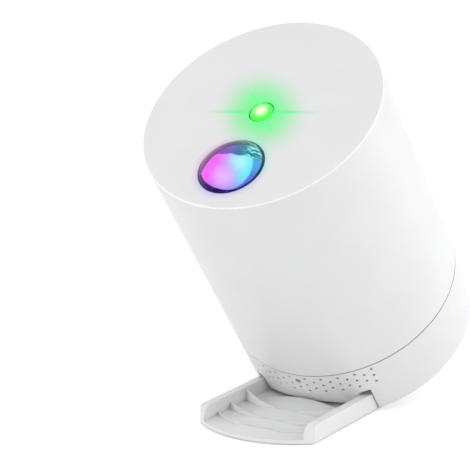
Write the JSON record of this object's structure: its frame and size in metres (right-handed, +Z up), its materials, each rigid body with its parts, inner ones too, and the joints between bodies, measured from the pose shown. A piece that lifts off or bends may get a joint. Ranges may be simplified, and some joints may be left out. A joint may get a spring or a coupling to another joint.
{
  "type": "planetarium projector",
  "caption": "White cylindrical star and nebula projector, leaning over a fold-out ribbed stand, with a domed projection lens and a laser window in its slanted top.",
  "frame": {"origin": "middle of the stand's foot pad, on the ground", "axes": "+X along the stand's hinge, -Y the way the body leans and the stand reaches, +Z up"},
  "size_m": [0.11, 0.1767, 0.1779],
  "materials": {
    "shell_white": "satin moulded",
    "stand_white": "satin moulded",
    "button_white": "satin",
    "clear_glass": "polished",
    "ripple_glass": "rippled",
    "film": "diffraction film",
    "gear_plastic": "natural acetal",
    "steel": "brushed",
    "motor_steel": "plated",
    "chassis_black": "fine grain",
    "reflector_white": "gloss",
    "heatsink_alloy": "extruded",
    "laser_brass": "turned",
    "holder_black": "satin",
    "board_green": "solder mask",
    "board_white": "solder mask",
    "led_lens": "clear dome",
    "component_black": "moulded",
    "rubber_grey": "moulded",
    "speaker_black": "painted",
    "cone_paper": "pressed paper",
    "magnet": "plated",
    "jack_black": "moulded"
  },
  "bodies": {
    "projector": {"housing": "shell_white", "base_ring": "shell_white", "bottom_cover": "shell_white", "bottom_pads": "rubber_grey", "projection_lens": "clear_glass", "laser_window": "clear_glass", "lens_retainer": "chassis_black", "window_retainer": "chassis_black", "chassis_plate": "chassis_black", "chassis_screws": "steel", "light_tunnel": "reflector_white", "led_board": "board_white", "led_emitters": "led_lens", "heatsink": "heatsink_alloy", "laser_holder": "holder_black", "laser_module": "laser_brass", "drive_motor": "motor_steel", "motor_screws": "steel", "bottom_screws": "steel", "hinge_pins": "steel", "speaker_frame": "speaker_black", "speaker_cone": "cone_paper", "speaker_magnet": "magnet", "speaker_screws": "steel", "ir_receiver": "component_black", "main_board": "board_green", "board_components": "component_black", "board_screws": "steel", "button_board": "board_green", "button_board_screws": "steel", "tact_switches": "component_black", "power_jack": "jack_black"},
    "folding_stand": {"stand": "stand_white", "stand_pad": "rubber_grey"},
    "nebula_wheel": {"nebula_gear": "gear_plastic", "ripple_disc": "ripple_glass"},
    "star_wheel": {"star_gear": "gear_plastic", "grating_film": "film"},
    "drive_shaft": {"drive_pinion": "gear_plastic", "motor_shaft": "steel"},
    "power_key": {"power_button": "button_white"},
    "color_key": {"color_button": "button_white"},
    "speed_key": {"speed_button": "button_white"},
    "volume_key": {"volume_button": "button_white"}
  },
  "joints": [
    {"name": "stand_fold", "type": "hinge", "parent": "projector", "child": "folding_stand", "pos_m": [0, 0.03876, 0.0088], "axis": [1, 0, 0], "range_deg": [0, 218.4]},
    {"name": "nebula_spin", "type": "hinge", "parent": "projector", "child": "nebula_wheel", "pos_m": [0, -0.04146, 0.11723], "axis": [0, -0.6211, 0.7837], "continuous": true},
    {"name": "star_spin", "type": "hinge", "parent": "projector", "child": "star_wheel", "pos_m": [0, -0.01646, 0.13704], "axis": [0, -0.6211, 0.7837], "continuous": true},
    {"name": "drive_spin", "type": "hinge", "parent": "projector", "child": "drive_shaft", "pos_m": [0.02226, -0.03381, 0.12329], "axis": [0, -0.6211, 0.7837], "continuous": true},
    {"name": "power_press", "type": "slide", "parent": "projector", "child": "power_key", "axis": [0, -0.7837, -0.6211], "range_m": [0, 0.0008], "stiffness_N_per_m": 600, "springref_m": -0.0005},
    {"name": "color_press", "type": "slide", "parent": "projector", "child": "color_key", "axis": [0, -0.7837, -0.6211], "range_m": [0, 0.0008], "stiffness_N_per_m": 600, "springref_m": -0.0005},
    {"name": "speed_press", "type": "slide", "parent": "projector", "child": "speed_key", "axis": [0, -0.7837, -0.6211], "range_m": [0, 0.0008], "stiffness_N_per_m": 600, "springref_m": -0.0005},
    {"name": "volume_press", "type": "slide", "parent": "projector", "child": "volume_key", "axis": [0, -0.7837, -0.6211], "range_m": [0, 0.0008], "stiffness_N_per_m": 600, "springref_m": -0.0005}
  ],
  "couplings": [
    {"joint": "star_spin", "follows": "nebula_spin", "ratio": -1.52},
    {"joint": "drive_spin", "follows": "nebula_spin", "ratio": -3.8}
  ]
}
